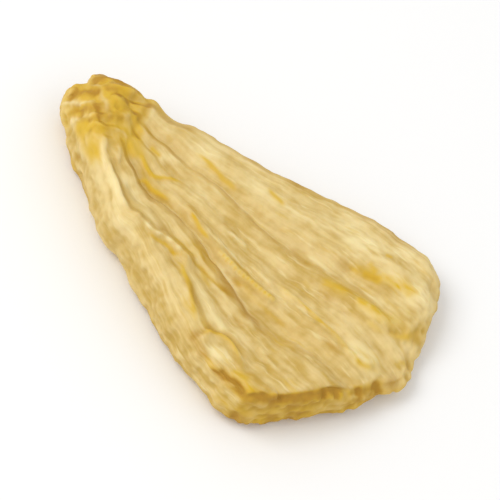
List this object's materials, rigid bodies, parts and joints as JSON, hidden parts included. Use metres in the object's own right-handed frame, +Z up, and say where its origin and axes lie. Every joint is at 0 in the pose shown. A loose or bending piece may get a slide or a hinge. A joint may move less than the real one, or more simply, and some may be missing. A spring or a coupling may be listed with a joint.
{
  "type": "freeze-dried pineapple chunk",
  "caption": "Thin wedge of freeze-dried pineapple with a puckered tip, fibre ridges that fan out over a dished face, and a broad crumbly rind end, lying flat.",
  "frame": {"origin": "centre of the bounding box at its bottom, on the surface that the chunk lies on", "axes": "+X from the narrow tip to the broad rind end, +Y to the thin side, +Z up"},
  "size_m": [0.0456, 0.0304, 0.0083],
  "materials": {
    "flesh": "dry, matt, pale yellow fibrous flesh"
  },
  "bodies": {
    "root": {"pineapple_chunk": "flesh"}
  },
  "joints": []
}
